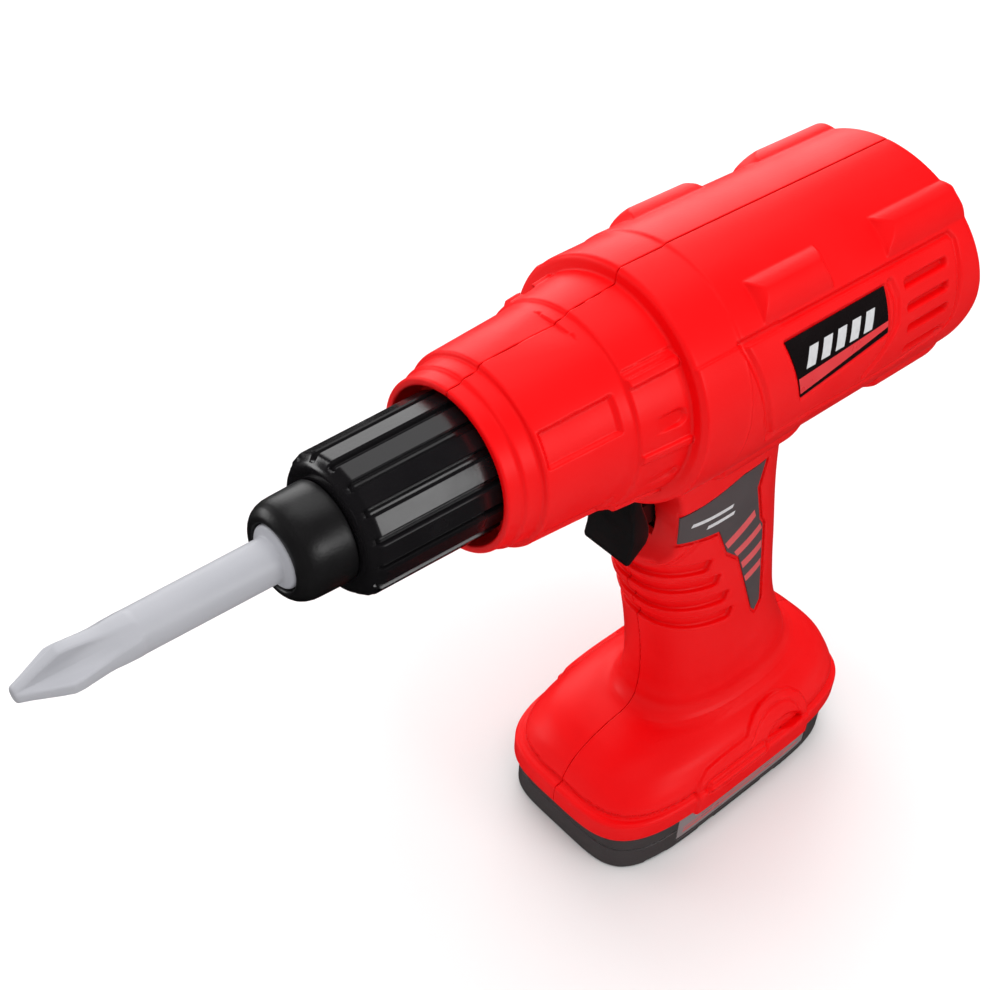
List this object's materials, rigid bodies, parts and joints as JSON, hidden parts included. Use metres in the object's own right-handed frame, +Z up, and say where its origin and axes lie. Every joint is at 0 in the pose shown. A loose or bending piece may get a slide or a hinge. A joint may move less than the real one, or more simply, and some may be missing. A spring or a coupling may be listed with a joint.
{
  "type": "toy power drill",
  "caption": "Toy pistol-grip power drill with cross-tip bit in a turning fluted chuck, sprung trigger, geared motor and battery foot with screwed door.",
  "frame": {"origin": "middle of the flat underside of the battery case, on the surface the drill stands on", "axes": "+Z up through the handle, -X along the barrel towards the bit, -Y towards the drill's own left side"},
  "size_m": [0.23, 0.057, 0.1835],
  "materials": {
    "red_shell": "satin moulded ABS",
    "black_chuck": "glossy moulded ABS",
    "black_part": "satin moulded ABS",
    "grey_bit": "satin moulded plastic",
    "grey_pack": "satin moulded plastic",
    "nylon": "natural nylon",
    "steel": "plain steel",
    "brass": "stamped brass",
    "cell": "printed shrink sleeve",
    "wire_red": "PVC insulation",
    "wire_black": "PVC insulation",
    "label_black": "printed film",
    "label_grey": "printed film",
    "label_clear": "printed film"
  },
  "bodies": {
    "drill_body": {"housing_left": "red_shell", "housing_right": "red_shell", "housing_screw_1": "steel", "housing_screw_2": "steel", "housing_screw_3": "steel", "housing_screw_4": "steel", "housing_screw_5": "steel", "spindle_bush": "brass", "gear_pin": "steel", "gearbox_front_plate": "nylon", "gearbox_rear_plate": "nylon", "motor_can": "steel", "motor_end_cap": "black_part", "motor_terminal_upper": "brass", "motor_terminal_lower": "brass", "trigger_spring": "steel", "switch_block": "black_part", "switch_terminal_upper": "brass", "switch_terminal_lower": "brass", "battery_case": "grey_pack", "battery_door": "grey_pack", "battery_door_screw": "steel", "battery_cell_1": "cell", "battery_cell_2": "cell", "battery_cell_3": "cell", "battery_spring_1": "steel", "battery_spring_2": "steel", "battery_spring_3": "steel", "battery_contact_front": "brass", "battery_contact_rear": "brass", "wire_motor": "wire_red", "wire_battery": "wire_black", "side_label_left": "label_black", "side_label_right": "label_black", "handle_label_left": "label_grey", "handle_label_right": "label_grey", "battery_label_left": "label_clear", "battery_label_right": "label_clear"},
    "chuck": {"chuck_sleeve": "black_chuck", "chuck_nose": "black_part", "drive_spindle": "steel", "output_gear": "nylon"},
    "bit": {"screwdriver_bit": "grey_bit"},
    "reduction_gear": {"compound_gear": "nylon"},
    "rotor": {"motor_shaft": "steel", "motor_pinion": "brass"},
    "trigger": {"trigger": "black_part", "switch_plunger": "nylon"}
  },
  "joints": [
    {"name": "chuck_spin", "type": "hinge", "parent": "drill_body", "child": "chuck", "pos_m": [0, 0, 0.155], "axis": [1, 0, 0], "continuous": true},
    {"name": "bit_pull", "type": "slide", "parent": "chuck", "child": "bit", "axis": [-1, 0, 0], "range_m": [0, 0.03]},
    {"name": "reduction_spin", "type": "hinge", "parent": "drill_body", "child": "reduction_gear", "pos_m": [0, 0, 0.16785], "axis": [1, 0, 0], "continuous": true},
    {"name": "rotor_spin", "type": "hinge", "parent": "drill_body", "child": "rotor", "pos_m": [0, 0, 0.155], "axis": [1, 0, 0], "continuous": true},
    {"name": "trigger_pull", "type": "slide", "parent": "drill_body", "child": "trigger", "axis": [1, 0, 0], "range_m": [0, 0.0045], "stiffness_N_per_m": 400, "springref_m": -0.003, "deforming": ["trigger_spring"]}
  ],
  "couplings": [
    {"joint": "reduction_spin", "follows": "chuck_spin", "ratio": -3},
    {"joint": "rotor_spin", "follows": "chuck_spin", "ratio": 9}
  ]
}
